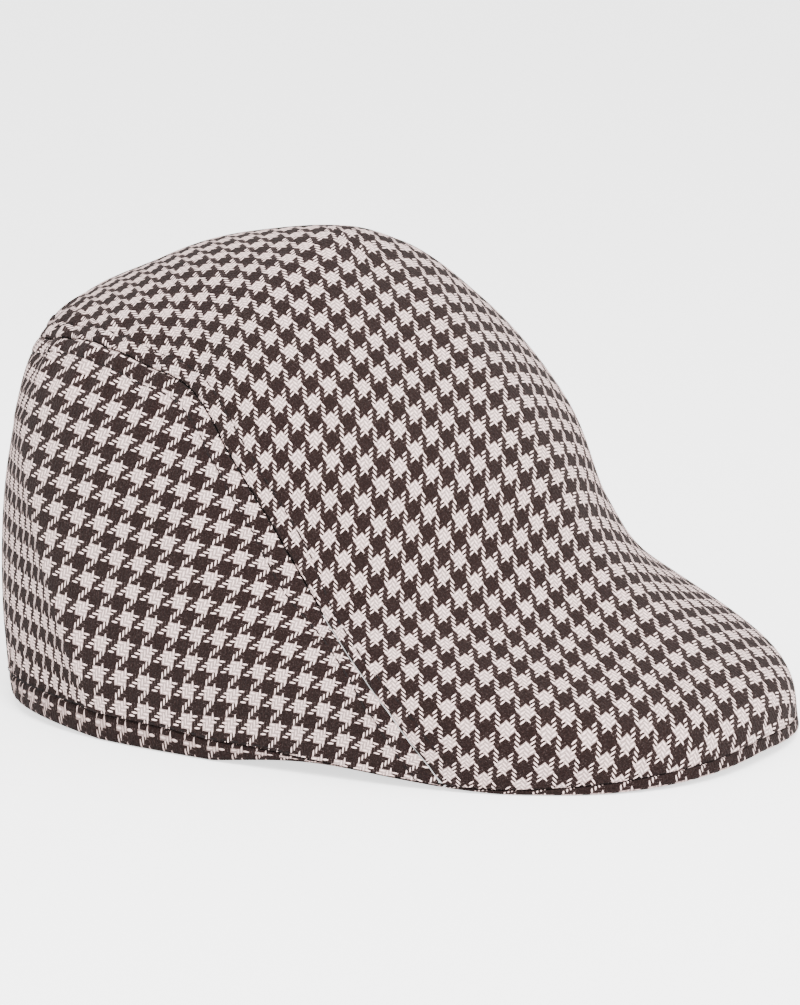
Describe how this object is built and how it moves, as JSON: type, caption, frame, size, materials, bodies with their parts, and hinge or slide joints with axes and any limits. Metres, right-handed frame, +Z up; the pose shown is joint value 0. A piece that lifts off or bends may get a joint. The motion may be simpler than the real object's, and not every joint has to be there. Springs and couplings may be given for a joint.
{
  "type": "tweed duckbill cap",
  "caption": "Soft houndstooth tweed duckbill cap with a long crown panel that runs down over its peak, seamed sides and a rolled hem, resting on its rim.",
  "frame": {"origin": "middle of the cap's outer box, on the surface that its rim and peak rest on", "axes": "+Z up, the peak points to -Y, the wearer's right side is -X"},
  "size_m": [0.176, 0.2508, 0.145],
  "materials": {
    "top_tweed": "matte wool tweed in a brown and cream houndstooth",
    "side_tweed": "matte wool tweed in a brown and cream houndstooth",
    "peak_tweed": "matte wool tweed over a stiff board",
    "hem_tweed": "matte wool tweed, rolled and stitched"
  },
  "bodies": {
    "root": {"top_panel": "top_tweed", "side_panel_right": "side_tweed", "side_panel_left": "side_tweed", "peak": "peak_tweed", "hem_band": "hem_tweed"}
  },
  "joints": []
}
